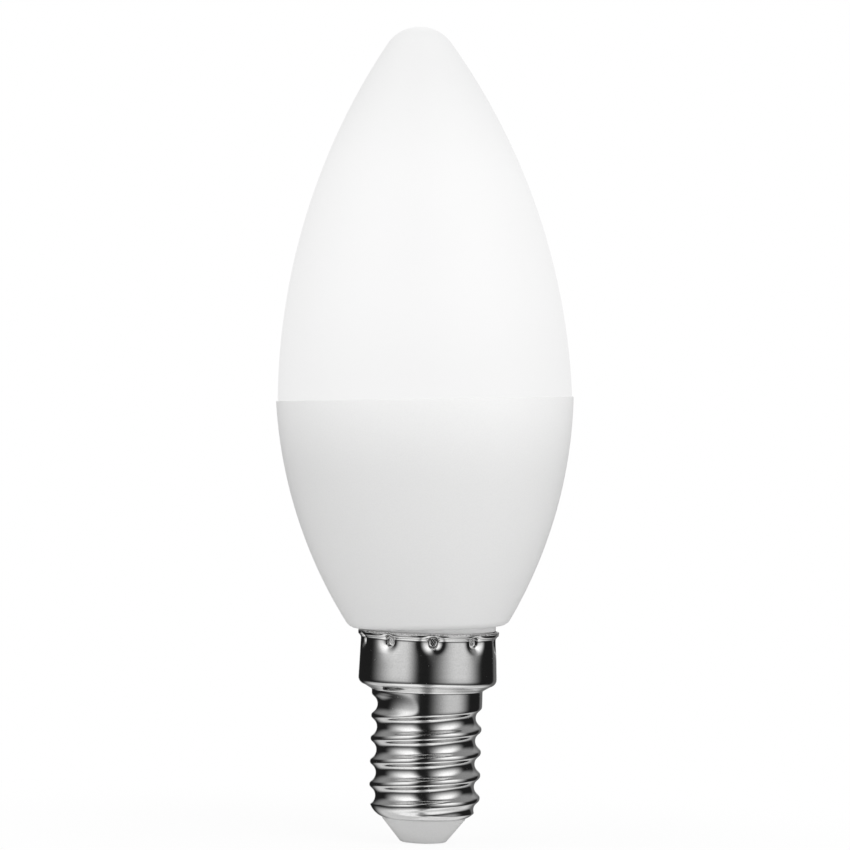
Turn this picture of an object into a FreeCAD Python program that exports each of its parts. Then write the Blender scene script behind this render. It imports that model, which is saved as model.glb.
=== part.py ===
"""Candle lamp with a small Edison screw cap: opal diffuser, plastic housing, rolled sheet screw shell,
insulator and centre contact.

Millimetres. The origin is the middle of the centre contact's face, +Z runs up the axis of the thread to the
tip, and -Y is the front. Diffuser and housing lean a little to the left in the cap, as the lamp does.
"""

import FreeCAD
import Part
import Sketcher
import math
import os

# Driving sizes
# Lengths are in millimetres, angles in degrees, and heights start at the piece below.
SIZES = (
    # rolled screw thread
    ("thread_pitch", 2.822),
    ("crest_radius", 6.83),
    ("root_radius", 6.08),
    ("crest_width", 0.08),
    ("crest_round", 0.47),
    ("crest_shoulder", 0.3),
    ("crest_drop", 0.14),
    ("root_width", 1.626),
    ("root_round", 1.15),
    ("runout_angle", 190.0),
    ("runout_drop", 1.8),
    ("runout_curve", 7.5),
    ("runout_turn", 66.0),
    ("hollow_width", 1.5),
    ("hollow_tip", 0.38),
    ("hollow_round", 0.25),
    ("hollow_start", 0.7),
    ("hollow_end", 0.8),
    # sheet of the screw shell
    ("sheet_wall", 0.3),
    ("foot_height", 3.15),
    ("foot_slope_height", 2.1),
    ("foot_land", 0.53),
    ("foot_round", 2.6),
    ("foot_chamfer", 0.45),
    ("barrel_height", 15.65),
    ("collar_drop", 0.4),
    # skirt above the step
    ("step_slope", 30.0),
    ("step_land", 1.0),
    ("skirt_radius", 8.52),
    ("mouth_radius", 8.34),
    ("skirt_height", 7.35),
    ("skirt_round", 0.9),
    ("rim_radius", 8.7),
    ("rim_lip", 0.65),
    ("flare_height", 0.5),
    # stakes that lock the skirt to the housing
    ("stake_count", 9),
    ("stake_angle", 3.9),
    ("stake_drop", 1.15),
    ("stake_width", 0.7),
    ("stake_height", 0.85),
    ("stake_depth", 0.55),
    ("stake_taper", 29.0),
    ("stake_skin", 0.1),
    # housing
    ("neck_clearance", 0.15),
    ("neck_length", 6.2),
    ("neck_chamfer", 0.5),
    ("neck_land", 0.41),
    ("neck_land_height", 0.7),
    ("seat_depth", 0.55),
    ("seat_margin", 0.04),
    ("shoulder_gap", 0.43),
    ("shoulder_radius", 9.64),
    ("shoulder_round", 1.5),
    ("housing_length", 28.02),
    ("housing_radius", 18.3),
    ("housing_curve", 57.0),
    ("lean_angle", 2.43),
    # diffuser
    ("seam_step", 0.2),
    ("diffuser_length", 45.76),
    ("diffuser_curve", 80.0),
    ("tip_round", 4.77),
    ("spigot_inset", 1.6),
    ("spigot_depth", 2.0),
    ("seam_clearance", 0.05),
    # insulator and centre contact
    ("nose_radius", 2.79),
    ("nose_round", 0.45),
    ("cone_height", 2.86),
    ("collar_radius", 5.12),
    ("flange_clearance", 0.1),
    ("flange_height", 1.2),
    ("plug_inset", 0.9),
    ("plug_height", 2.0),
    ("contact_proud", 0.1),
    ("contact_radius", 1.9),
    ("contact_head", 0.6),
    ("shank_radius", 0.8),
    ("fit_clearance", 0.03),
)

# Places that several pieces share, as expressions of the driving sizes
RIM = "(Sheet.foot_height + Sheet.barrel_height + Sheet.skirt_height)"
STEP = "(Sheet.foot_height + Sheet.barrel_height)"
SHOULDER = f"({RIM} + Sheet.shoulder_gap)"
SEAM = f"({SHOULDER} + Sheet.housing_length)"
STAKE = f"({RIM} - Sheet.stake_drop)"
MOUTH = f"({RIM} - Sheet.rim_lip - Sheet.flare_height)"
BORE = "(Sheet.root_radius - Sheet.sheet_wall)"
SKIRT_BORE = "(Sheet.mouth_radius - Sheet.sheet_wall)"
STAKE_FLOOR = "(Sheet.mouth_radius - Sheet.stake_depth)"
BOSS_TIP = f"({STAKE_FLOOR} - Sheet.sheet_wall)"
LIP_TOP = "(Sheet.foot_height + Sheet.sheet_wall)"
SMOOTH = "smooth"
LEAN = f"placement(vector(0; 0; 0); rotation(vector(0; 1; 0); -Sheet.lean_angle); vector(0; 0; {STAKE}))"

doc = FreeCAD.newDocument("candle_lamp")


def fill_sheet():
    """The table of driving sizes, one named cell each."""
    table = doc.addObject("Spreadsheet::Sheet", "Sheet")
    for row, (name, value) in enumerate(SIZES, start=1):
        table.set(f"A{row}", name)
        table.set(f"B{row}", str(value))
        table.setAlias(f"B{row}", name)
    doc.recompute()
    return table


sheet = fill_sheet()


def new_body(name):
    """One piece of the lamp, named as its file."""
    body = doc.addObject("PartDesign::Body", name)
    body.Label = name
    return body


def origin_item(body, role):
    """An origin plane or axis of one piece."""
    return next(item for item in body.Origin.OriginFeatures if item.Role == role)


def bind(item, **expressions):
    """Tie properties to the table."""
    for name, expression in expressions.items():
        item.setExpression(name, expression)


def arc_between(start, end, radius):
    """The short arc from start to end that turns left, or right where the radius is below zero."""
    chord = end - start
    reach = math.sqrt(max(radius * radius - chord.Length ** 2 / 4, 0.0))
    side = FreeCAD.Vector(-chord.y, chord.x, 0).normalize() * math.copysign(reach, radius)
    centre = (start + end) * 0.5 + side
    first, last = (start, end) if radius > 0 else (end, start)
    circle = Part.Circle(centre, FreeCAD.Vector(0, 0, 1), abs(radius))
    return Part.ArcOfCircle(circle, circle.parameter(first), circle.parameter(last))


def hold(sketch, geometry, end, across, up):
    """Ties one end of a line or arc to its distance from the axis and its height."""
    for kind, expression in (("DistanceX", across), ("DistanceY", up)):
        value = float(sketch.evalExpression(expression))
        index = sketch.addConstraint(Sketcher.Constraint(kind, -1, 1, geometry, end, value))
        sketch.setExpression(f"Constraints[{index}]", expression)


def new_sketch(body, name):
    """An empty sketch on the piece's own upright plane that faces the front: across is X and up is Z."""
    sketch = body.newObject("Sketcher::SketchObject", name)
    sketch.AttachmentSupport = [(origin_item(body, "XZ_Plane"), "")]
    sketch.MapMode = "FlatFace"
    return sketch


def outline(sketch, corners):
    """A closed outline, and the numbers of its lines and arcs. Each corner is (across, up) or, where an arc
    leads to the next one, (across, up, radius), above zero for an arc that turns left and below zero for
    right. A corner that ends with SMOOTH is near its place, and settles where its two arcs touch."""
    texts = [[text for text in corner if text != SMOOTH] for corner in corners]
    values = [[float(sketch.evalExpression(text)) for text in corner] for corner in texts]
    points = [FreeCAD.Vector(value[0], value[1], 0) for value in values]
    ends = []
    for index, corner in enumerate(corners):
        start = points[index]
        end = points[(index + 1) % len(points)]
        if len(values[index]) == 2:
            geometry = sketch.addGeometry(Part.LineSegment(start, end))
            ends.append((geometry, 1, 2))
            continue
        turn = values[index][2]
        geometry = sketch.addGeometry(arc_between(start, end, turn))
        radius = sketch.addConstraint(Sketcher.Constraint("Radius", geometry, abs(turn)))
        sketch.setExpression(f"Constraints[{radius}]", f"abs({corner[2]})")
        ends.append((geometry, 1, 2) if turn > 0 else (geometry, 2, 1))
    for index, corner in enumerate(corners):
        geometry, first, last = ends[index]
        before, before_first, before_last = ends[index - 1]
        kind = "Tangent" if SMOOTH in corner else "Coincident"
        sketch.addConstraint(Sketcher.Constraint(kind, before, before_last, geometry, first))
        if SMOOTH not in corner:
            hold(sketch, geometry, first, corner[0], corner[1])
    return [geometry for geometry, first, last in ends]


def turn_about_axis(body, name, sketch):
    """Turns a half section about the piece's own axis."""
    feature = body.newObject("PartDesign::Revolution", name)
    feature.Profile = sketch
    feature.ReferenceAxis = (sketch, ["V_Axis"])
    feature.Angle = 360
    doc.recompute()
    return feature


def ring_edge(feature, radius, height):
    """The circular edge of that radius and height about the axis."""
    radius = float(sheet.evalExpression(radius))
    height = float(sheet.evalExpression(height))

    def miss(edge):
        point = edge.valueAt(edge.FirstParameter)
        return abs(math.hypot(point.x, point.y) - radius) + abs(point.z - height)

    edges = feature.Shape.Edges
    rings = [index for index, edge in enumerate(edges) if edge.isClosed() and "Circle" in edge.Curve.TypeId]
    best = min(rings, key=lambda index: miss(edges[index]))
    return f"Edge{best + 1}"


def round_edge(body, name, feature, radius, height, size):
    """A fillet on one ring edge."""
    fillet = body.newObject("PartDesign::Fillet", name)
    fillet.Base = (feature, [ring_edge(feature, radius, height)])
    bind(fillet, Radius=size)
    doc.recompute()
    return fillet


def stake_sketch(body, name, distance, half_width, half_height, upright=FreeCAD.Placement()):
    """The foot of a stake or of its seat: a rectangle that faces outward at a distance from the axis, turned
    to the first stake. In a piece that leans, upright is the frame that doesn't."""
    sketch = new_sketch(body, name)
    turn = FreeCAD.Rotation(FreeCAD.Vector(0, 1, 0), sheet.stake_angle)
    away = turn.multVec(FreeCAD.Vector(0, 0, float(sheet.evalExpression(distance))))
    sketch.AttachmentOffset = upright.multiply(FreeCAD.Placement(away, turn))
    outline(sketch, [
        (f"-{half_width}", f"{STAKE} - {half_height}"),
        (half_width, f"{STAKE} - {half_height}"),
        (half_width, f"{STAKE} + {half_height}"),
        (f"-{half_width}", f"{STAKE} + {half_height}"),
    ])
    doc.recompute()
    return sketch


def stake_ring(body, features, axis):
    """Repeats the first stake's features round the axis of the shell."""
    ring = body.newObject("PartDesign::PolarPattern", "stake_ring")
    ring.Originals = features
    ring.Axis = axis
    ring.Angle = 360
    bind(ring, Occurrences="Sheet.stake_count")
    body.Tip = ring
    doc.recompute()


# Diffuser
# An opal plastic candle cover, blown with a long side curve that runs into a small round tip. Its flat foot
# stands on the housing and a short spigot inside the edge locates it. Closed and lit, it stays solid.
def make_diffuser():
    body = new_body("diffuser")
    sketch = new_sketch(body, "diffuser_section")
    edge = "(Sheet.housing_radius - Sheet.seam_step)"
    spigot = "(Sheet.housing_radius - Sheet.spigot_inset)"
    foot = f"({SEAM} - Sheet.spigot_depth)"
    top = f"({SEAM} + Sheet.diffuser_length)"
    outline_parts = outline(sketch, [
        ("0", foot),
        (spigot, foot),
        (spigot, SEAM),
        (edge, SEAM, "Sheet.diffuser_curve"),
        ("Sheet.tip_round * 0.8", f"{top} - Sheet.tip_round * 0.4", "Sheet.tip_round", SMOOTH),
        ("0", top),
    ])
    tip = outline_parts[-2]
    centre_on_axis = Sketcher.Constraint("PointOnObject", tip, 3, -2)
    sketch.addConstraint(centre_on_axis)
    turn_about_axis(body, "diffuser_turned", sketch)
    bind(body, Placement=LEAN)
    return body


# Housing
# A white moulded cone that carries the diffuser and plugs into the skirt of the cap. Its neck ends in a wider
# land that fills the flared mouth, and takes each stake in a seat. It holds the driver and closes everything
# off, so it stays solid.
def add_seats(body, floor, reach):
    """Seats for the stakes in the neck, from floor out to reach. They stand upright, as the shell does."""
    pivot = FreeCAD.Vector(0, float(sheet.evalExpression(STAKE)), 0)
    back = FreeCAD.Rotation(FreeCAD.Vector(0, 0, 1), -sheet.lean_angle)
    upright = FreeCAD.Placement(FreeCAD.Vector(), back, pivot)
    axis = new_sketch(body, "shell_axis")
    axis.AttachmentOffset = upright
    seat = body.newObject("PartDesign::Pocket", "stake_seat")
    seat.Profile = stake_sketch(body, "stake_seat_section", floor,
                                "(Sheet.stake_width / 2 + Sheet.stake_skin + Sheet.seat_margin)",
                                "(Sheet.stake_height / 2 + Sheet.stake_skin + Sheet.seat_margin)", upright)
    seat.Reversed = True
    bind(seat, Length=f"{reach} - {floor}", TaperAngle="Sheet.stake_taper")
    doc.recompute()
    stake_ring(body, [seat], (axis, ["V_Axis"]))


def make_housing():
    body = new_body("housing")
    sketch = new_sketch(body, "housing_section")
    neck = f"({SKIRT_BORE} - Sheet.neck_clearance)"
    land = f"({neck} + Sheet.neck_land)"
    land_foot = f"({SHOULDER} - Sheet.neck_land_height)"
    bottom = f"({SHOULDER} - Sheet.neck_length)"
    recess = "(Sheet.housing_radius - Sheet.spigot_inset + Sheet.seam_clearance)"
    recess_floor = f"({SEAM} - Sheet.spigot_depth)"
    outline(sketch, [
        ("0", bottom),
        (f"{neck} - Sheet.neck_chamfer", bottom),
        (neck, f"{bottom} + Sheet.neck_chamfer"),
        (neck, land_foot),
        (land, land_foot),
        (land, SHOULDER),
        ("Sheet.shoulder_radius", SHOULDER, "Sheet.housing_curve"),
        ("Sheet.housing_radius", SEAM),
        (recess, SEAM),
        (recess, recess_floor),
        ("0", recess_floor),
    ])
    turned = turn_about_axis(body, "housing_turned", sketch)
    round_edge(body, "shoulder_rounding", turned, "Sheet.shoulder_radius", SHOULDER, "Sheet.shoulder_round")
    add_seats(body, f"({neck} - Sheet.seat_depth)", f"({land} + Sheet.neck_clearance)")
    bind(body, Placement=LEAN)
    return body


# Screw shell
# Thin nickel-plated sheet, drawn to a cup and rolled. From the foot up: a turned-in lip, the right-hand
# thread, a plain ring, a sloping step, the wide skirt and a flared rim.
def helix_wire(radius, lowest, end_angle, end_height):
    """A right-hand helix from the lowest point to the given end, and the angle at which it starts."""
    pitch = sheet.thread_pitch
    turns = (end_height - lowest) / pitch
    start_angle = end_angle - 360 * turns
    helix = Part.makeHelix(pitch, pitch * turns, radius)
    about_axis = FreeCAD.Rotation(FreeCAD.Vector(0, 0, 1), start_angle)
    helix.Placement = FreeCAD.Placement(FreeCAD.Vector(0, 0, lowest), about_axis)
    return Part.Wire(helix.Edges), start_angle


def with_runout(wire):
    """The wire with the wider arc on which the roll goes on and leaves the sheet."""
    last = wire.Edges[-1]
    end, tangent = last.valueAt(last.LastParameter), last.tangentAt(last.LastParameter)
    outward = FreeCAD.Vector(end.x, end.y, 0).normalize()
    centre = end - outward * sheet.runout_curve
    middle, leave = [centre + (outward * math.cos(turn) + tangent * math.sin(turn)) * sheet.runout_curve
                     for turn in (math.radians(sheet.runout_turn / 2), math.radians(sheet.runout_turn))]
    return Part.Wire(wire.Edges + [Part.Arc(end, middle, leave).toShape()])


def roll(body, name, wire, start_angle, lowest, corners):
    """Takes the outline, set at the start of the wire, out of the shell all along the wire."""
    path = doc.addObject("Part::Feature", f"{name}_path")
    path.Shape = wire
    sketch = new_sketch(body, f"{name}_section")
    about_axis = FreeCAD.Rotation(FreeCAD.Vector(0, 1, 0), start_angle)
    sketch.AttachmentOffset = FreeCAD.Placement(FreeCAD.Vector(0, lowest, 0), about_axis)
    outline(sketch, corners)
    doc.recompute()
    groove = body.newObject("PartDesign::SubtractivePipe", name)
    groove.Profile = sketch
    groove.Spine = (path, [f"Edge{index + 1}" for index in range(len(wire.Edges))])
    groove.Mode = "Frenet"
    doc.recompute()


def roll_thread(body):
    """The groove outside, with a round root and round shoulders, and the hollow under its ridge inside."""
    top = sheet.foot_height + sheet.barrel_height - sheet.runout_drop
    lowest = sheet.foot_height - sheet.thread_pitch / 2
    wire, start_angle = helix_wire(sheet.root_radius, lowest, sheet.runout_angle, top)
    sag = "(Sheet.root_round - sqrt(Sheet.root_round ^ 2 - Sheet.root_width ^ 2 / 4))"
    edge = "((Sheet.thread_pitch - Sheet.crest_width) / 2)"
    shoulder = f"({edge} - Sheet.crest_shoulder)"
    over = "(Sheet.crest_radius + Sheet.crest_drop)"
    wide = f"({edge} + Sheet.crest_width / 4)"
    roll(body, "groove", with_runout(wire), start_angle, lowest, [
        (f"Sheet.root_radius + {sag}", "Sheet.root_width / 2", "Sheet.root_round"),
        (f"Sheet.root_radius + {sag}", "-Sheet.root_width / 2"),
        ("Sheet.crest_radius - Sheet.crest_drop", f"-{shoulder}", "-Sheet.crest_round"),
        ("Sheet.crest_radius", f"-{edge}"),
        (over, f"-{wide}"),
        (over, wide),
        ("Sheet.crest_radius", edge, "-Sheet.crest_round"),
        ("Sheet.crest_radius - Sheet.crest_drop", shoulder),
    ])
    ridge_end = sheet.foot_height + sheet.barrel_height - sheet.hollow_end
    ridge_low = sheet.foot_height + sheet.foot_slope_height + sheet.hollow_start
    past_runout = 360 * ((ridge_end - top) / sheet.thread_pitch - 0.5)
    end_angle = sheet.runout_angle + past_runout
    wire, start_angle = helix_wire(sheet.crest_radius, ridge_low, end_angle, ridge_end)
    tip = "(Sheet.hollow_round - sqrt(Sheet.hollow_round ^ 2 - Sheet.hollow_tip ^ 2 / 4))"
    under = f"(Sheet.crest_radius - Sheet.sheet_wall - {tip})"
    roll(body, "hollow", wire, start_angle, ridge_low, [
        (under, "-Sheet.hollow_tip / 2", "Sheet.hollow_round"),
        (under, "Sheet.hollow_tip / 2"),
        (BORE, "Sheet.hollow_width / 2"),
        (f"{BORE} - Sheet.sheet_wall", "Sheet.hollow_width / 2"),
        (f"{BORE} - Sheet.sheet_wall", "-Sheet.hollow_width / 2"),
        (BORE, "-Sheet.hollow_width / 2"),
    ])


def add_stakes(body):
    """Punch marks under the rim: a pocket outside, and a boss inside that enters its seat in the neck."""
    boss = body.newObject("PartDesign::Pad", "stake_boss")
    boss.Profile = stake_sketch(body, "stake_boss_section", BOSS_TIP,
                                "(Sheet.stake_width / 2 + Sheet.stake_skin)",
                                "(Sheet.stake_height / 2 + Sheet.stake_skin)")
    bind(boss, Length="Sheet.stake_depth + Sheet.sheet_wall / 2", TaperAngle="Sheet.stake_taper")
    doc.recompute()
    pocket = body.newObject("PartDesign::Pocket", "stake_pocket")
    pocket.Profile = stake_sketch(body, "stake_pocket_section", STAKE_FLOOR,
                                  "(Sheet.stake_width / 2)", "(Sheet.stake_height / 2)")
    pocket.Reversed = True
    bind(pocket, Length=f"Sheet.rim_radius - {STAKE_FLOOR}", TaperAngle="Sheet.stake_taper")
    doc.recompute()
    stake_ring(body, [boss, pocket], (origin_item(body, "Z_Axis"), [""]))


def make_screw_shell():
    body = new_body("screw_shell")
    sketch = new_sketch(body, "sheet_section")
    lip = "(Sheet.collar_radius + Sheet.fit_clearance)"
    slope_end = "(Sheet.crest_radius + Sheet.step_land)"
    slope_top = f"({STEP} + Sheet.step_land * tan(Sheet.step_slope))"
    wall_up = "(Sheet.sheet_wall / cos(Sheet.step_slope))"
    collar = f"({STEP} - Sheet.collar_drop)"
    outline(sketch, [
        (lip, "Sheet.foot_height"),
        (f"{BORE} - Sheet.foot_land", "Sheet.foot_height", "Sheet.foot_round"),
        ("Sheet.crest_radius", "Sheet.foot_height + Sheet.foot_slope_height"),
        ("Sheet.crest_radius", STEP),
        (slope_end, slope_top, "Sheet.skirt_round"),
        ("Sheet.skirt_radius", f"{slope_top} + Sheet.skirt_round"),
        ("Sheet.mouth_radius", MOUTH, "-Sheet.flare_height"),
        ("Sheet.rim_radius", f"{RIM} - Sheet.rim_lip"),
        ("Sheet.rim_radius", RIM),
        ("Sheet.rim_radius - Sheet.sheet_wall", RIM),
        ("Sheet.rim_radius - Sheet.sheet_wall", f"{RIM} - Sheet.rim_lip", "Sheet.flare_height"),
        (SKIRT_BORE, MOUTH),
        ("Sheet.skirt_radius - Sheet.sheet_wall", f"{slope_top} + Sheet.skirt_round"),
        (slope_end, f"{slope_top} + {wall_up}"),
        ("Sheet.crest_radius - Sheet.sheet_wall", f"{STEP} + Sheet.sheet_wall"),
        ("Sheet.crest_radius - Sheet.sheet_wall", collar),
        (BORE, f"{collar} - (Sheet.crest_radius - Sheet.root_radius)"),
        (BORE, f"{LIP_TOP} + Sheet.foot_chamfer"),
        (f"{BORE} - Sheet.foot_chamfer", LIP_TOP),
        (lip, LIP_TOP),
    ])
    turn_about_axis(body, "sheet_turned", sketch)
    roll_thread(body)
    add_stakes(body)
    return body


# Insulator
# A white plug with a cone-shaped nose. Its collar passes the lip of the shell, its flange seats on the lip
# inside, and the contact is pressed into its bore.
def make_insulator():
    body = new_body("insulator")
    sketch = new_sketch(body, "insulator_section")
    flange = f"({BORE} - Sheet.flange_clearance)"
    plug = f"({flange} - Sheet.plug_inset)"
    flange_top = f"({LIP_TOP} + Sheet.flange_height)"
    top = f"({flange_top} + Sheet.plug_height)"
    recess = "(Sheet.contact_radius + Sheet.fit_clearance)"
    bore = "(Sheet.shank_radius + Sheet.fit_clearance)"
    outline(sketch, [
        (recess, "Sheet.contact_proud"),
        ("Sheet.nose_radius", "Sheet.contact_proud"),
        ("Sheet.collar_radius", "Sheet.contact_proud + Sheet.cone_height"),
        ("Sheet.collar_radius", LIP_TOP),
        (f"{flange} - Sheet.foot_chamfer", LIP_TOP),
        (flange, f"{LIP_TOP} + Sheet.foot_chamfer"),
        (flange, flange_top),
        (plug, flange_top),
        (plug, top),
        (bore, top),
        (bore, "Sheet.contact_head"),
        (recess, "Sheet.contact_head"),
    ])
    turned = turn_about_axis(body, "insulator_turned", sketch)
    round_edge(body, "nose_rounding", turned, "Sheet.nose_radius", "Sheet.contact_proud", "Sheet.nose_round")
    return body


# Centre contact
# A plated pin with a flat head that lies in the nose of the insulator and stands a hair proud.
def make_centre_contact():
    body = new_body("centre_contact")
    sketch = new_sketch(body, "contact_section")
    shank_top = f"({LIP_TOP} + Sheet.flange_height + Sheet.plug_height)"
    outline(sketch, [
        ("0", "0"),
        ("Sheet.contact_radius", "0"),
        ("Sheet.contact_radius", "Sheet.contact_head"),
        ("Sheet.shank_radius", "Sheet.contact_head"),
        ("Sheet.shank_radius", shank_top),
        ("0", shank_top),
    ])
    turn_about_axis(body, "contact_turned", sketch)
    return body


def check(pieces):
    """Stops the build where a feature failed or a piece isn't a sound solid."""
    failed = [item.Name for item in doc.Objects if {"Invalid", "Error"} & set(item.State)]
    failed += [piece.Label for piece in pieces if piece.Shape.isNull() or not piece.Shape.isValid()]
    if failed:
        raise RuntimeError(f"failed: {failed}")


def write(pieces):
    """One file for each piece, named by its label."""
    os.makedirs("parts", exist_ok=True)
    for piece in pieces:
        piece.Shape.exportStep(os.path.join("parts", f"{piece.Label}.step"))


pieces = [make_diffuser(), make_housing(), make_screw_shell(), make_insulator(), make_centre_contact()]
doc.recompute()
check(pieces)
write(pieces)
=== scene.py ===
import math

import bpy
import numpy as np
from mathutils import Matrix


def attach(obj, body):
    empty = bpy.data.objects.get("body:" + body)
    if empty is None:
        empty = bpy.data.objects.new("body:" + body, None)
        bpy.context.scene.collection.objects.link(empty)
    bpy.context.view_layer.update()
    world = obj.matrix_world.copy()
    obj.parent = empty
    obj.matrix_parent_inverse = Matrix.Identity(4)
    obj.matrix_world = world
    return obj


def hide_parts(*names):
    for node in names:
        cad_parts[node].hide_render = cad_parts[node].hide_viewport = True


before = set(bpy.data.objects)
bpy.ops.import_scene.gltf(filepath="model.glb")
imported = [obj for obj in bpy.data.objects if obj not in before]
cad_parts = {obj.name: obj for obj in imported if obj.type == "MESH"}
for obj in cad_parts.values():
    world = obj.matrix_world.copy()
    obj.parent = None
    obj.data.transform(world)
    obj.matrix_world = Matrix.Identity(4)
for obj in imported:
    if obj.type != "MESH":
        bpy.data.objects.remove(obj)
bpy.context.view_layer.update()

# Camera
# The photograph is taken almost level with the seam, from a little over half a metre. The cap stands a
# little askew in it, and the middle of the contact falls near its lower edge.
IMAGE_SIDE = 850
PIXELS_PER_METRE = 8130
CONTACT_PIXEL = (423.1, 842.6)
LEVEL_ROW = 400
CAMERA_DISTANCE = 0.566
CAP_ROLL = math.radians(1.55)
SENSOR_WIDTH = 36
NEAREST = 0.01
FARTHEST = 20

image_up = np.array([-math.sin(CAP_ROLL), 0, math.cos(CAP_ROLL)])
image_right = np.array([math.cos(CAP_ROLL), 0, math.sin(CAP_ROLL)])
middle_pixel = IMAGE_SIDE / 2
target = (image_right * (middle_pixel - CONTACT_PIXEL[0])
          + image_up * (CONTACT_PIXEL[1] - middle_pixel)) / PIXELS_PER_METRE
level_point = target + image_up * (middle_pixel - LEVEL_ROW) / PIXELS_PER_METRE
eye = level_point + np.array([0, -CAMERA_DISTANCE, 0])
away = eye - target
reach = np.linalg.norm(away)
backward = away / reach
view_axes = np.eye(4)
view_axes[:3, 0] = image_right
view_axes[:3, 1] = np.cross(backward, image_right)
view_axes[:3, 2] = backward
view_axes[:3, 3] = eye

camera = bpy.data.objects.new("camera", bpy.data.cameras.new("camera"))
camera.data.sensor_width = SENSOR_WIDTH
camera.data.lens = reach * PIXELS_PER_METRE / IMAGE_SIDE * SENSOR_WIDTH
camera.data.clip_start = NEAREST
camera.data.clip_end = FARTHEST
bpy.context.scene.collection.objects.link(camera)
camera.matrix_world = view_axes.T.tolist()
bpy.context.scene.camera = camera


# Studio
# A dark room with two soft boxes left and right of the camera, a white table below and a white backdrop
# behind, with a dim strip and a dim glow beside that. A weak lamp hangs above at the right. The camera itself
# sees plain white.
class Tone:
    """A socket in a shader. Sums written with it add Math nodes, and node() adds any other node."""

    def __init__(self, tree, socket=None):
        self.tree = tree
        self.socket = socket

    def node(self, kind, settings=None, inputs=None, output=0):
        """Adds a node, gives it its settings, then its values and links, and returns one of its outputs."""
        made = self.tree.nodes.new(kind)
        for name, value in (settings or {}).items():
            setattr(made, name, value)
        for name, value in (inputs or {}).items():
            if isinstance(value, Tone):
                self.tree.links.new(value.socket, made.inputs[name])
            else:
                made.inputs[name].default_value = value
        return Tone(self.tree, made.outputs[output] if made.outputs else None)

    def maths(self, operation, first, second=0.0):
        return self.node("ShaderNodeMath", {"operation": operation}, {0: first, 1: second})

    def __add__(self, other):
        return self.maths("ADD", self, other)

    def __sub__(self, other):
        return self.maths("SUBTRACT", self, other)

    def __rsub__(self, other):
        return self.maths("SUBTRACT", other, self)

    def __mul__(self, other):
        return self.maths("MULTIPLY", self, other)

    __radd__ = __add__
    __rmul__ = __mul__

    def __abs__(self):
        return self.maths("ABSOLUTE", self)

    def fade(self, start, end):
        """Goes smoothly from 0 at start to 1 at end."""
        return self.node("ShaderNodeMapRange", {"interpolation_type": "SMOOTHSTEP"},
                         {"Value": self, "From Min": start, "From Max": end})


def empty_nodes(owner):
    """The cleared node tree of a material or world, as a Tone to build on."""
    owner.use_nodes = True
    owner.node_tree.nodes.clear()
    return Tone(owner.node_tree)


BOX_LIGHT = 1.4
TABLE_LIGHT = 0.7
REAR_LIGHT = 0.3
BACKDROP_LIGHT = 0.95
ROOM_LIGHT = 0.016
FILL_LIGHT = 0.42
EDGE_LIGHT = 0.14
TABLE_DROP_BEHIND = 16
TABLE_SIDE_GAIN = 0.6
TABLE_MIDDLE_LOSS = 0.5
TABLE_FILL_LOSS = 0.2
BACKDROP_FOOT = 0.2

# Every light is a patch of directions, in degrees. The bearing is 0 towards the camera, below 0 to its left
# and 180 behind the lamp. The rise is 0 on the level and 90 overhead.
studio = bpy.data.worlds.new("studio")
bpy.context.scene.world = studio
air = empty_nodes(studio)
direction = air.node("ShaderNodeTexCoord", output="Generated")
split = air.node("ShaderNodeSeparateXYZ", inputs={0: direction}).socket.node
rightward, backwards, upward = (Tone(air.tree, socket) for socket in split.outputs)
bearing = air.maths("ARCTAN2", rightward, backwards * -1) * math.degrees(1)
rise = air.maths("ARCSINE", upward) * math.degrees(1)
left_box = bearing.fade(-112, -54) * bearing.fade(-13, -40)
right_box = bearing.fade(0, 50) * bearing.fade(103, 62)
boxes = (left_box + right_box) * rise.fade(-45, 40) * rise.fade(70, 47)
behind = abs(bearing)
below = rise - TABLE_DROP_BEHIND * behind.fade(80, 145)
ahead = behind.fade(130, 80)
aside = behind.fade(4, 28)
table_change = TABLE_SIDE_GAIN * aside * rise.fade(-88, -70) - TABLE_MIDDLE_LOSS * (1 - aside)
table = below.fade(-34, -54) * (1 + ahead * table_change)
backdrop_rise = BACKDROP_FOOT + (1 - BACKDROP_FOOT) * rise.fade(-14, 1)
backdrop = behind.fade(163, 175) * rise.fade(65, 45) * backdrop_rise
edge = bearing.fade(138, 148) * bearing.fade(172, 164) * rise.fade(40, 20)
rear = behind.fade(80, 105) * rise.fade(6, 36) * rise.fade(85, 70)
room = (boxes * BOX_LIGHT + table * TABLE_LIGHT + backdrop * BACKDROP_LIGHT + rear * REAR_LIGHT
        + edge * EDGE_LIGHT + ROOM_LIGHT)
rays = air.node("ShaderNodeLightPath").socket.node.outputs
camera_ray = Tone(air.tree, rays["Is Camera Ray"])
diffuse_ray = Tone(air.tree, rays["Is Diffuse Ray"])
fill = diffuse_ray * (FILL_LIGHT - table * TABLE_FILL_LOSS)
strength = camera_ray + (1 - camera_ray) * (room + fill)
sky = air.node("ShaderNodeBackground", inputs={"Color": (1, 1, 1, 1), "Strength": strength})
air.node("ShaderNodeOutputWorld", inputs={"Surface": sky})

KEY_PLACE = (0.35, -0.73, 0.8)
KEY_SIDE = 0.5
KEY_WATTS = 2.5

key = bpy.data.objects.new("key_light", bpy.data.lights.new("key_light", "AREA"))
key.data.size = KEY_SIDE
key.data.energy = KEY_WATTS
key.visible_glossy = False
bpy.context.scene.collection.objects.link(key)
key.location = KEY_PLACE
key_axis = np.array(KEY_PLACE) - target
key.rotation_euler = (math.acos(key_axis[2] / np.linalg.norm(key_axis)), 0,
                      math.atan2(key_axis[1], key_axis[0]) + math.pi / 2)

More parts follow.
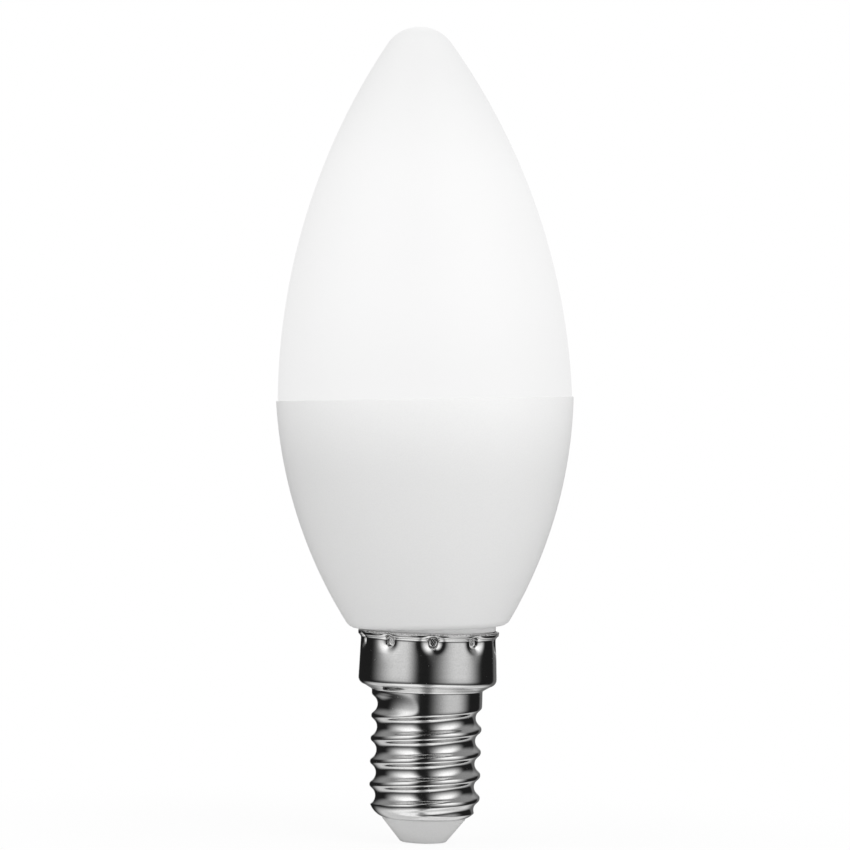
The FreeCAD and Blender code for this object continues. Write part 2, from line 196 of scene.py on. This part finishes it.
# Screw shell
# Thin nickel-plated sheet, drawn to a cup and rolled: turned-in foot, right-hand thread with its run-out,
# plain ring, sloping step and wide skirt. Nine punches press it into the housing's neck below a flared rim.
MM = 0.001
TINY = 1e-6
SAME_POINT = 1e-4
RUN_POINTS = 400
ROUNDING_POINTS = 7


def bend(start, end, radius, count):
    """Points on the short arc from start to end, that turns left for a radius above zero, or right."""
    start, end = np.array(start, float), np.array(end, float)
    chord = end - start
    length = np.hypot(*chord)
    side = np.array([-chord[1], chord[0]]) / length
    centre = (start + end) / 2 + side * math.copysign(math.sqrt(radius ** 2 - length ** 2 / 4), radius)
    first = math.atan2(*(start - centre)[::-1])
    turn = 2 * math.asin(length / 2 / radius)
    angles = first + turn * np.linspace(0, 1, count)
    return centre + abs(radius) * np.stack([np.cos(angles), np.sin(angles)], 1)


def half_section(corners):
    """The outline of a half section as points. Each corner is (radius, height, rounding, count, bend): an arc
    of the rounding's size cuts the corner, and count points lead to the next corner, on an arc where a bend
    radius is given."""
    corners = [tuple(corner) + (0, 2, 0)[len(corner) - 2:] for corner in corners]
    runs = []
    for here, there in zip(corners, corners[1:] + corners[:1]):
        if here[4]:
            runs.append(bend(here[:2], there[:2], here[4], RUN_POINTS))
        else:
            runs.append(np.linspace(here[:2], there[:2], RUN_POINTS))
    cuts, arcs = [], []
    for before, corner, after in zip(runs[-1:] + runs[:-1], corners, runs):
        arrive = before[-1] - before[-2]
        leave = after[1] - after[0]
        arrive, leave = arrive / np.hypot(*arrive), leave / np.hypot(*leave)
        turn = math.atan2(arrive[0] * leave[1] - arrive[1] * leave[0], arrive @ leave)
        cuts.append(corner[2] * math.tan(abs(turn) / 2))
        side = np.array([-arrive[1], arrive[0]]) * math.copysign(1, turn)
        steps = np.linspace(0, abs(turn), ROUNDING_POINTS)[:, None]
        begin = np.array(corner[:2]) - arrive * cuts[-1]
        arcs.append(begin + corner[2] * (np.sin(steps) * arrive + (1 - np.cos(steps)) * side))
    outline = []
    for number, (run, corner) in enumerate(zip(runs, corners)):
        travelled = np.concatenate([[0], np.cumsum(np.hypot(*np.diff(run, axis=0).T))])
        wanted = np.linspace(cuts[number], travelled[-1] - cuts[(number + 1) % len(cuts)], corner[3])
        points = np.stack([np.interp(wanted, travelled, run[:, axis]) for axis in (0, 1)], 1)
        outline.append(np.concatenate([arcs[number], points[1:]]) if corner[2] else points)
    outline = np.concatenate(outline)
    gaps = np.hypot(*(outline - np.roll(outline, 1, axis=0)).T)
    return outline[gaps > SAME_POINT]


def ring_mesh(name, across, up, angles):
    """A closed skin round the axis, in millimetres. The arrays give each point's distance from the axis and
    its height, a row for each point of the outline and a column for each angle, and all rows join into a
    loop. Rows that lie on the axis shrink to one point."""
    rows, columns = across.shape
    points = np.stack([across * np.cos(angles), across * np.sin(angles), up], -1).reshape(-1, 3)
    index = np.arange(rows * columns).reshape(rows, columns)
    on_axis = np.abs(across).max(1) < TINY
    index[on_axis] = index[on_axis][:, :1]
    above, right = np.roll(index, -1, axis=0), np.roll(index, -1, axis=1)
    quads = np.stack([index, right, np.roll(right, -1, axis=0), above], -1).reshape(-1, 4)
    both_on_axis = (on_axis & np.roll(on_axis, -1)).repeat(columns)
    quads = quads[~both_on_axis]
    faces = [list(dict.fromkeys(quad)) for quad in quads.tolist()]
    used = np.unique(quads)
    renumber = np.zeros(rows * columns, int)
    renumber[used] = np.arange(len(used))
    faces = [[int(renumber[corner]) for corner in face] for face in faces]
    mesh = bpy.data.meshes.new(name)
    mesh.from_pydata((points[used] * MM).tolist(), [], faces)
    mesh.polygons.foreach_set("use_smooth", [True] * len(mesh.polygons))
    mesh.validate()
    piece = bpy.data.objects.new(name, mesh)
    bpy.context.scene.collection.objects.link(piece)
    return piece


PITCH = 2.822
CREST = 6.83
ROOT = 6.08
SHEET = 0.3
FOOT = 3.15
FOOT_HOLE = 5.15
FOOT_CORNER = 5.25
FOOT_CURVE = 2.6
FOOT_TOP = 5.25
FOOT_CHAMFER = 0.45
BORE = ROOT - SHEET
BORE_FOOT = 5.4
HOLLOW_FOOT = 6.0
THREAD_TOP = 17.6
STEP = 18.8
SLOPE_RADIUS = 7.83
SLOPE_TOP = 19.377
SLOPE_INSIDE = 19.723
SLOPE_CURVE = 0.9
SKIRT_START = 20.277
SKIRT = 8.52
MOUTH = 8.34
MOUTH_HEIGHT = 25.0
RIM = 8.7
FLARE = 0.5
RIM_FOOT = 25.5
RIM_TOP = 26.15

ROOT_ROUND = 1.15
FLANK_FOOT = (6.417, 0.813)
FLANK_HEAD = (6.69, 1.071)
CREST_ROUND = 0.47
GROOVE_HALF = 1.371


def groove(offset):
    """Distance from the axis of the rolled groove's surface, by the height from the groove's middle: a round
    root, a straight flank, and a shoulder that rounds over to the crest. Past that it rises off the sheet."""
    root_arc = bend((ROOT, 0), FLANK_FOOT, -ROOT_ROUND, 13)
    crest_arc = bend(FLANK_HEAD, (CREST, GROOVE_HALF), CREST_ROUND, 9)
    beyond = [(CREST + 0.06, 1.6), (CREST + 0.5, 2.4), (CREST + 20, 6)]
    profile = np.concatenate([root_arc, crest_arc, beyond])
    return np.interp(np.abs(offset), profile[:, 1], profile[:, 0])


CREASE = 0.05


def softer_least(first, second, blend=CREASE):
    """The lesser of two, with the crease between them rounded."""
    mix = np.clip(0.5 + (second - first) / blend / 2, 0, 1)
    return second + (first - second) * mix - blend * mix * (1 - mix)


RUNOUT_ANGLE = 190
RUNOUT_HEIGHT = 17.0
RUNOUT_CURVE = 7.5
RUNOUT_SINK = 0.3
RUNOUT_STRETCH = 0.8
RUNOUT_BLEND = 0.5
RUNOUT_BLEND_TURN = 1.25
RUNOUT_BLEND_TOP = 18.75
RUNOUT_BLEND_FADE = 0.4


def thread(angles, up):
    """Distances from the axis of the groove's surface, and of its run-out, with the width over which the
    run-out blends into the sheet. The groove's middle climbs one pitch a turn up to the run-out. There it
    goes on along a wider arc that leaves the sheet little by little, with a longer and gentler upper side."""
    turned = (angles - RUNOUT_ANGLE) % 360 - 360
    top_groove = RUNOUT_HEIGHT + PITCH * turned / 360
    lower_grooves = np.maximum(np.round((top_groove - up) / PITCH), 0)
    grooved = groove(up - top_groove + lower_grooves * PITCH)
    past = np.radians(np.clip(turned + 360, 0, 90))
    shift = RUNOUT_CURVE - ROOT
    root_there = np.sqrt(RUNOUT_CURVE ** 2 - (shift * np.sin(past)) ** 2) - shift * np.cos(past)
    over_middle = up - RUNOUT_HEIGHT + RUNOUT_SINK * np.sin(past)
    gentler = np.where(over_middle > 0, 1 + RUNOUT_STRETCH * np.sin(past), 1)
    runout = groove(over_middle / gentler) + root_there - ROOT
    along = np.sqrt(np.sin(math.pi * np.clip(past / RUNOUT_BLEND_TURN, 0, 1)).clip(0))
    under_step = np.clip((RUNOUT_BLEND_TOP - up) / RUNOUT_BLEND_FADE, 0, 1)
    blend = CREASE + RUNOUT_BLEND * along * under_step
    return grooved, runout, blend


STAKES = 9
FIRST_STAKE = 273.9
STAKE_HEIGHT = 25.0
STAKE_TILT = 0.12
STAKE_SEED = 7
PUNCH_FLOOR = 7.61
HOLE_HALF_WIDTH = 0.62
HOLE_HALF_HEIGHT = 0.72
HOLE_UNEVEN = 0.04
HOLE_RAISED = 0.04
HOLE_SQUARENESS = 2.4
HOLE_SLOPE = 0.36
DISH_DEPTH = 0.64
DISH_SPREAD = 0.98
DISH_LOWERED = 0.1
DISH_SKIN = 0.2
SCUFF_DEPTH = 0.025
SCUFF_WAVES = (19, 16)
SCUFF_SHIFTS = (9, 5)


def punched(angles, up, skin):
    """Depth of the stakes below the skin's distance from the axis: a steep hole down to a scuffed upright
    floor where the punch went in, and a dish where the sheet gave way round it."""
    seeded = np.random.default_rng(STAKE_SEED)
    depth = np.zeros(skin.shape)
    for number in range(STAKES):
        lean, wide, tall, scuff = seeded.uniform(-1, 1, 4)
        off = (angles - FIRST_STAKE - 360 / STAKES * number + 180) % 360 - 180
        side = np.radians(off) * MOUTH
        height = up - STAKE_HEIGHT
        side, height = side + height * STAKE_TILT * lean, height - side * STAKE_TILT * lean
        beside = np.abs(side) / (HOLE_HALF_WIDTH + HOLE_UNEVEN * wide)
        over = np.abs(height - HOLE_RAISED) / (HOLE_HALF_HEIGHT + HOLE_UNEVEN * tall)
        distance = (beside ** HOLE_SQUARENESS + over ** HOLE_SQUARENESS) ** (1 / HOLE_SQUARENESS)
        hole = np.clip((1 - distance) / HOLE_SLOPE, 0, 1)
        hole = hole * hole * (3 - 2 * hole)
        from_dish = -(side / DISH_SPREAD) ** 2 - ((height + DISH_LOWERED) / DISH_SPREAD) ** 2
        dish = DISH_DEPTH * np.exp(from_dish)
        scuffed_across = np.sin(SCUFF_WAVES[0] * side + SCUFF_SHIFTS[0] * scuff)
        scuffed_up = np.sin(SCUFF_WAVES[1] * height + SCUFF_SHIFTS[1] * wide)
        scuffed = SCUFF_DEPTH * scuffed_across * scuffed_up
        depth = np.maximum(depth, dish + hole * (skin - PUNCH_FLOOR - dish + scuffed))
    return depth


DENSER_FROM = 23.4
skirt_there = np.interp(DENSER_FROM, (SKIRT_START, MOUTH_HEIGHT), (SKIRT, MOUTH))
sheet_outline = half_section([
    (FOOT_HOLE, FOOT, 0, 3),
    (FOOT_CORNER, FOOT, 0, 26, FOOT_CURVE),
    (CREST, FOOT_TOP, 0, 112),
    (CREST, THREAD_TOP, 0, 8),
    (CREST, STEP, 0.3, 5),
    (SLOPE_RADIUS, SLOPE_TOP, 0.15, 9, SLOPE_CURVE),
    (SKIRT, SKIRT_START, 0, 6),
    (skirt_there, DENSER_FROM, 0, 18),
    (MOUTH, MOUTH_HEIGHT, 0, 9, -FLARE),
    (RIM, RIM_FOOT, 0.28, 3),
    (RIM, RIM_TOP, 0.21, 3),
    (RIM - SHEET, RIM_TOP, 0.08, 3),
    (RIM - SHEET, RIM_FOOT, 0, 7, FLARE),
    (MOUTH - SHEET, MOUTH_HEIGHT, 0, 12),
    (skirt_there - SHEET, DENSER_FROM, 0, 3),
    (SKIRT - SHEET, SKIRT_START, 0, 5),
    (SLOPE_RADIUS, SLOPE_INSIDE, 0, 3),
    (CREST - SHEET, STEP + SHEET, 0, 2),
    (CREST - SHEET, THREAD_TOP, 0, 46),
    (CREST - SHEET, HOLLOW_FOOT, 0, 3),
    (BORE, BORE_FOOT, 0, 2),
    (BORE, FOOT + SHEET + FOOT_CHAMFER, 0, 2),
    (BORE - FOOT_CHAMFER, FOOT + SHEET, 0, 2),
    (FOOT_HOLE, FOOT + SHEET, 0, 2),
])

# The columns crowd towards the stakes, where the surface bends most.
COLUMNS = 300
CROWDING = 0.55

even = np.linspace(0, 360, COLUMNS, endpoint=False)
stake_phase = np.radians((even - FIRST_STAKE) * STAKES)
columns = even - np.degrees(CROWDING * np.sin(stake_phase)) / STAKES
across = np.repeat(sheet_outline[:, :1], COLUMNS, 1)
up = np.repeat(sheet_outline[:, 1:], COLUMNS, 1)
turned_at = np.repeat(columns[None], len(across), 0)
inside = np.zeros(len(across), bool)
inside[np.argmax(sheet_outline[:, 1] > RIM_TOP - TINY):] = True
inside = inside[:, None]

# The roll reaches from the turned-in foot to the step, and inside it stops at the bore.
FOOT_KEPT = 5.5
ROLL_TOP = STEP - 0.1
BORE_START = FOOT + SHEET + 0.4
BORE_TOP = 18.5

grooved, runout, blend = thread(turned_at, up)
wall = np.where(inside, SHEET, 0)
rolled = softer_least(softer_least(across, grooved - wall), runout - wall, blend)
across = np.where((up < ROLL_TOP) & (across > FOOT_KEPT), rolled, across)
bore_there = inside & (up < BORE_TOP) & (up > BORE_START)
across = np.where(bore_there, np.maximum(across, BORE), across)

# The stakes fade out up the rim, and the sheet thins where it is pressed.
PRESSED_FROM = 21
RIM_FADE = 0.7

pressed = punched(turned_at, up, across + wall) * np.clip((RIM_TOP + 0.1 - up) / RIM_FADE, 0, 1)
pressed = np.where(inside, np.maximum(pressed - DISH_SKIN, 0), pressed)
across = across - np.where(up > PRESSED_FROM, pressed, 0)

# The rim was cut off and not finished, so its edge is a little ragged.
RIM_SEED = 11
RAGGED = 0.02
RAGGED_FROM = RIM_FOOT + 0.1
RAGGED_FADE = 0.3

ragged = np.random.default_rng(RIM_SEED).normal(0, 1, (2, COLUMNS))
ragged = (ragged + np.roll(ragged, 1, axis=1)) * RAGGED
on_rim = np.clip((up - RAGGED_FROM) / RAGGED_FADE, 0, 1)
across = across + np.minimum(ragged[0], 0) * on_rim
up = up + np.minimum(ragged[1], 0) * on_rim
screw_shell = ring_mesh("rolled_shell", across, up, np.radians(turned_at))


def finish_of(name):
    """A new material of that name, its cleared nodes and the object coordinates that patterns read."""
    material = bpy.data.materials.new(name)
    base = empty_nodes(material)
    place = base.node("ShaderNodeTexCoord", output="Object")
    return material, base, place


def height_in_mm(base, place):
    return base.node("ShaderNodeSeparateXYZ", inputs={0: place}, output=2) * (1 / MM)


def stretched(base, place, scales):
    """Object coordinates scaled differently along each axis, so that a noise on them is drawn out."""
    return base.node("ShaderNodeVectorMath", {"operation": "MULTIPLY"}, {0: place, 1: scales})


def noise(base, place, scale, detail=3.0, roughness=0.55):
    return base.node("ShaderNodeTexNoise",
                     inputs={"Vector": place, "Scale": scale, "Detail": detail, "Roughness": roughness})


def speckle(base, place):
    """A very fine, even pattern of light and dark."""
    return noise(base, place, 6000, 1.0).fade(0.3, 0.7)


def blended(base, share, first, last):
    """A colour that goes from the first to the last with the share. The Mix node's colour sockets are its
    inputs 6 and 7 and its output 2."""
    return base.node("ShaderNodeMix", {"data_type": "RGBA"}, {0: share, 6: (*first, 1), 7: (*last, 1)}, 2)


def surface(base, bumps=(), **values):
    """The principled shader with its output. Bumps are (height, distance) pairs, laid over one another."""
    normal = None
    for height, distance in bumps:
        inputs = {"Height": height, "Distance": distance, "Strength": 1.0}
        if normal is not None:
            inputs["Normal"] = normal
        normal = base.node("ShaderNodeBump", inputs=inputs)
    sockets = {name.replace("_", " "): value for name, value in values.items()}
    if normal is not None:
        sockets["Normal"] = normal
    shader = base.node("ShaderNodeBsdfPrincipled", inputs=sockets)
    base.node("ShaderNodeOutputMaterial", inputs={"Surface": shader})


NICKEL_DARK = (0.64, 0.639, 0.636)
NICKEL_BRIGHT = (0.82, 0.818, 0.814)
GRAIN_DEPTH = 0.001
SPECK_DEPTH = 0.003
BURR_DEPTH = 0.25
BURR_FADE = 0.12


def nickel(name, brushing, cut_edge=None):
    """Bright nickel plate over drawn brass: faint drawing lines and streaks round the axis, fine grain, a
    few specks, and a roughness that varies a little. From the height of a cut edge up it is burred."""
    material, base, place = finish_of(name)
    lines = noise(base, stretched(base, place, (0.03, 0.03, 1.0)), 9000, 2.0)
    streaks = noise(base, stretched(base, place, (0.04, 0.04, 1.0)), 3400, 4.0, 0.7)
    grain = noise(base, place, 5200, 2.0)
    specks = noise(base, place, 3800, 0.0).fade(0.80, 0.86)
    cloud = noise(base, place, 260, 3.0)
    worn = cloud * 0.4 + streaks * 0.6
    tone = blended(base, worn * 0.7 + speckle(base, place) * 0.3, NICKEL_DARK, NICKEL_BRIGHT)
    bumps = [(lines, brushing * MM), (grain, GRAIN_DEPTH * MM), (specks, -SPECK_DEPTH * MM)]
    if cut_edge:
        burred = height_in_mm(base, place).fade(cut_edge, cut_edge + BURR_FADE)
        bumps.append((noise(base, place, 2300, 3.0) * burred, BURR_DEPTH * MM))
    surface(base, bumps,
            Base_Color=tone, Metallic=1.0, Roughness=worn * 0.1 + specks * 0.2 + 0.06)
    return material


SHELL_BRUSHING = 0.0008
CUT_EDGE = RIM_TOP - 0.3

screw_shell.data.materials.append(nickel("nickel_sheet", SHELL_BRUSHING, CUT_EDGE))
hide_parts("screw_shell")
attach(screw_shell, "root")

# Insulator
# A moulded plug of pale plastic: a cone-shaped nose below the foot of the shell, a short collar through it
# and a flange that seats inside. It is solid apart from the contact's bore and the recess for its head.
PLUG_COLUMNS = 160
PLUG_FOOT = 0.1
NOSE = 2.79
COLLAR = 5.12
COLLAR_FOOT = 2.96
FLANGE = 5.68
FLANGE_FOOT = 3.45
FLANGE_TOP = 4.65
PLUG = 4.78
PLUG_TOP = 6.65
HEAD_RECESS = 1.93
HEAD_RECESS_TOP = 0.6
PIN_BORE = 0.83
PLUG_DARK = (0.66, 0.66, 0.657)
PLUG_LIGHT = (0.70, 0.70, 0.697)

plug_angles = np.linspace(0, math.tau, PLUG_COLUMNS, endpoint=False)


def turned(name, corners, angles=plug_angles, cut=None):
    """A piece turned from a half section. The cut, where there is one, gives the distance from the axis that
    the surface is at most at, from the angles and heights."""
    outline = half_section(corners)
    across = np.repeat(outline[:, :1], len(angles), 1)
    up = np.repeat(outline[:, 1:], len(angles), 1)
    if cut:
        across = np.minimum(across, cut(angles, up))
    return ring_mesh(name, across, up, angles)


insulator = turned("cone_plug", [
    (HEAD_RECESS, PLUG_FOOT, 0.05, 3),
    (NOSE, PLUG_FOOT, 0.45, 16),
    (COLLAR, COLLAR_FOOT, 0.12, 3),
    (COLLAR, FLANGE_FOOT, 0, 3),
    (FLANGE - FOOT_CHAMFER, FLANGE_FOOT, 0, 3),
    (FLANGE, FLANGE_FOOT + FOOT_CHAMFER, 0, 4),
    (FLANGE, FLANGE_TOP, 0.08, 3),
    (PLUG, FLANGE_TOP, 0, 4),
    (PLUG, PLUG_TOP, 0.08, 4),
    (PIN_BORE, PLUG_TOP, 0, 8),
    (PIN_BORE, HEAD_RECESS_TOP, 0, 3),
    (HEAD_RECESS, HEAD_RECESS_TOP, 0, 3),
])
material, base, place = finish_of("moulded_plug")
mottle = noise(base, place, 420, 4.0)
skin = noise(base, place, 3600, 2.0)
shade = blended(base, mottle * 0.3 + speckle(base, place) * 0.7, PLUG_DARK, PLUG_LIGHT)
surface(base, [(skin, 0.004 * MM)], Base_Color=shade, Roughness=0.42 + mottle * 0.12)
insulator.data.materials.append(material)
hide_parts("insulator")
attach(insulator, "root")

# Centre contact
# A plated pin pressed into the nose, with a flat head that stands a hair proud of it.
HEAD = 1.9
SHANK = 0.8
PIN_BRUSHING = 0.0003

contact = turned("contact_pin", [
    (0, 0, 0, 6),
    (HEAD, 0, 0.08, 3),
    (HEAD, HEAD_RECESS_TOP, 0, 4),
    (SHANK, HEAD_RECESS_TOP, 0, 10),
    (SHANK, PLUG_TOP, 0.1, 4),
    (0, PLUG_TOP, 0, 2),
])
contact.data.materials.append(nickel("nickel_pin", PIN_BRUSHING))
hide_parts("centre_contact")
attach(contact, "root")

# Housing
# A white moulded cone with a soft sheen. Its rounded shoulder overhangs the rim, its neck plugs into the
# skirt, and the whole leans a little to the left in the cap, so the gap closes at that side.
LEAN = math.radians(2.43)
SEAM = 54.6
HOUSING_EDGE = 18.296
HOUSING_CURVE = 57.0
RECESS = 16.75
RECESS_FLOOR = 52.6
SHOULDER = 26.58
SHOULDER_RADIUS = 9.64
SHOULDER_ROUND = 1.5
NECK = 7.89
NECK_FOOT = 20.38
NECK_CHAMFER = 0.5
NECK_LAND = 8.3
SEATS_FROM = 23.7
LAND_FOOT = 25.88
SEAM_ROUND = 0.03
SEAT_FLOOR = 7.34
SEAT_HALF_WIDTH = 0.49
SEAT_HALF_HEIGHT = 0.565
SEAT_SLOPE = math.tan(math.radians(29))
WHITE_DARK = (0.765, 0.765, 0.763)
WHITE_LIGHT = (0.79, 0.79, 0.787)
BLACK = (0, 0, 0)
# Colour of the painted glow at the housing's top, though the housing is no lamp.
PAINTED_GLOW_TOP = (0.10, 0.10, 0.10)


def leaning(piece):
    """Turns a piece's points about the front-to-back line at the height of the stakes."""
    points = np.empty(len(piece.data.vertices) * 3)
    piece.data.vertices.foreach_get("co", points)
    points = points.reshape(-1, 3)
    x, z = points[:, 0].copy(), points[:, 2] - STAKE_HEIGHT * MM
    points[:, 0] = x * math.cos(LEAN) - z * math.sin(LEAN)
    points[:, 2] = x * math.sin(LEAN) + z * math.cos(LEAN) + STAKE_HEIGHT * MM
    piece.data.vertices.foreach_set("co", points.ravel())
    piece.data.update()
    return piece


def seats(angles, up):
    """Distance from the axis of the seats that take the stakes: nine flat floors with sloping sides, upright
    in the lamp while the neck leans. Away from them it grows past the neck."""
    level = STAKE_HEIGHT + (up - STAKE_HEIGHT) * math.cos(LEAN) + NECK * np.cos(angles) * math.sin(LEAN)
    off = (np.degrees(angles) - FIRST_STAKE + 180 / STAKES) % (360 / STAKES) - 180 / STAKES
    beside = np.abs(np.radians(off)) * NECK - SEAT_HALF_WIDTH
    over = np.abs(level - STAKE_HEIGHT) - SEAT_HALF_HEIGHT
    side = SEAT_FLOOR + np.maximum(np.maximum(beside, over), 0) / SEAT_SLOPE
    return np.where(up < SHOULDER - 0.1, side, np.inf)


housing = leaning(turned("cone_housing", [
    (0, NECK_FOOT, 0, 4),
    (NECK - NECK_CHAMFER, NECK_FOOT, 0, 3),
    (NECK, NECK_FOOT + NECK_CHAMFER, 0, 4),
    (NECK, SEATS_FROM, 0, 24),
    (NECK, LAND_FOOT, 0, 4),
    (NECK_LAND, LAND_FOOT, 0, 7),
    (NECK_LAND, SHOULDER, 0.12, 8),
    (SHOULDER_RADIUS, SHOULDER, SHOULDER_ROUND, 90, HOUSING_CURVE),
    (HOUSING_EDGE, SEAM, SEAM_ROUND, 6),
    (RECESS, SEAM, 0, 4),
    (RECESS, RECESS_FLOOR, 0, 8),
    (0, RECESS_FLOOR, 0, 2),
], np.radians(columns), seats))
material, base, place = finish_of("white_moulding")
cloud = noise(base, place, 55, 4.0)
skin = noise(base, place, 2600, 3.0, 0.6)
white = blended(base, cloud * 0.3 + speckle(base, place) * 0.7, WHITE_DARK, WHITE_LIGHT)
# Painted glow: the housing's upper part emits a little light that rises towards the seam, though it is no
# lamp.
painted_glow = blended(base, height_in_mm(base, place).fade(44, 57), BLACK, PAINTED_GLOW_TOP)
surface(base, [(skin, 0.003 * MM)], Base_Color=white, Roughness=0.4 + cloud * 0.14,
        Emission_Color=painted_glow, Emission_Strength=1.0)
housing.data.materials.append(material)
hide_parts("housing")
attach(housing, "root")

# Diffuser
# An opal plastic candle cover, lit from inside and a little brighter round its middle than at the seam and
# the tip. Its edge lies a hair inside the housing's, and a short spigot locates it.
TIP = 100.355
TIP_ROUND = 4.77
COVER_CURVE = 80.0
COVER_EDGE = 18.1
SPIGOT = 16.7
SEAM_BRIGHTNESS = 0.54
GLOW_DIM = (0.61, 0.61, 0.61)
GLOW_BRIGHT = (0.662, 0.662, 0.662)
MILK_DARK = (0.24, 0.24, 0.24)
MILK_LIGHT = (0.26, 0.26, 0.26)

# The round tip touches the side's arc from inside, so their centres and the touching point are in line.
tip_centre = np.array([0, TIP - TIP_ROUND])
edge_corner = np.array([COVER_EDGE, SEAM])
between = tip_centre - edge_corner
apart = np.hypot(*between)
leg = (COVER_CURVE ** 2 - (COVER_CURVE - TIP_ROUND) ** 2 + apart ** 2) / (2 * apart)
square = np.array([-between[1], between[0]]) / apart * math.sqrt(COVER_CURVE ** 2 - leg ** 2)
curve_centre = edge_corner + between / apart * leg + square
touch = tip_centre + (tip_centre - curve_centre) / np.hypot(*(tip_centre - curve_centre)) * TIP_ROUND

diffuser = leaning(turned("opal_cover", [
    (0, RECESS_FLOOR, 0, 6),
    (SPIGOT, RECESS_FLOOR, 0, 4),
    (SPIGOT, SEAM, 0, 3),
    (COVER_EDGE, SEAM, SEAM_ROUND, 110, COVER_CURVE),
    (touch[0], touch[1], 0, 26, TIP_ROUND),
    (0, TIP, 0, 2),
]))
material, base, place = finish_of("opal_lit")
height = height_in_mm(base, place)
bright = SEAM_BRIGHTNESS + (1 - SEAM_BRIGHTNESS) * height.fade(56, 68) - height.fade(80, 97)
mist = noise(base, place, 70, 4.0)
skin = noise(base, place, 2400, 2.0)
glow = blended(base, bright, GLOW_DIM, GLOW_BRIGHT)
milk = blended(base, mist, MILK_DARK, MILK_LIGHT)
surface(base, [(skin, 0.002 * MM)], Base_Color=milk, Roughness=0.5 + mist * 0.1,
        Emission_Color=glow, Emission_Strength=1.0)
diffuser.data.materials.append(material)
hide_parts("diffuser")
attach(diffuser, "root")

# Floor
# A plain white table top that keeps the lamp's shadow and runs into the white room.
FLOOR_RINGS = (0.0, 0.02, 0.1, 0.4, 3.0)
FLOOR_TURNS = 96
FLOOR_LEVEL = -0.00002
PLAIN_SHARE = 0.92

rings = np.array(FLOOR_RINGS)[:, None]
turns = np.linspace(0, math.tau, FLOOR_TURNS, endpoint=False)
grid = (len(FLOOR_RINGS), FLOOR_TURNS)
plate = np.stack([rings * np.cos(turns), rings * np.sin(turns), np.full(grid, FLOOR_LEVEL)], -1)
numbers = np.arange(plate.size // 3).reshape(grid)
beside = np.roll(numbers, -1, axis=1)
faces = np.stack([numbers[:-1], numbers[1:], beside[1:], beside[:-1]], -1).reshape(-1, 4)
floor = bpy.data.objects.new("floor", bpy.data.meshes.new("floor"))
floor.data.from_pydata(plate.reshape(-1, 3).tolist(), [], faces.tolist())
bpy.context.scene.collection.objects.link(floor)
floor.visible_glossy = False
material, base, place = finish_of("white_table")
far = base.node("ShaderNodeVectorMath", {"operation": "LENGTH"}, {0: place}, "Value").fade(0.02, 0.09)
seen = base.node("ShaderNodeLightPath", output="Is Camera Ray")
matt = base.node("ShaderNodeBsdfDiffuse", inputs={"Color": (0.85, 0.85, 0.85, 1)})
plain = base.node("ShaderNodeEmission", inputs={"Color": (1, 1, 1, 1), "Strength": 1.0})
share = seen * (PLAIN_SHARE + far * (1 - PLAIN_SHARE))
mixed = base.node("ShaderNodeMixShader", inputs={0: share, 1: matt, 2: plain})
base.node("ShaderNodeOutputMaterial", inputs={"Surface": mixed})
floor.data.materials.append(material)

bpy.context.scene.view_settings.view_transform = "Standard"
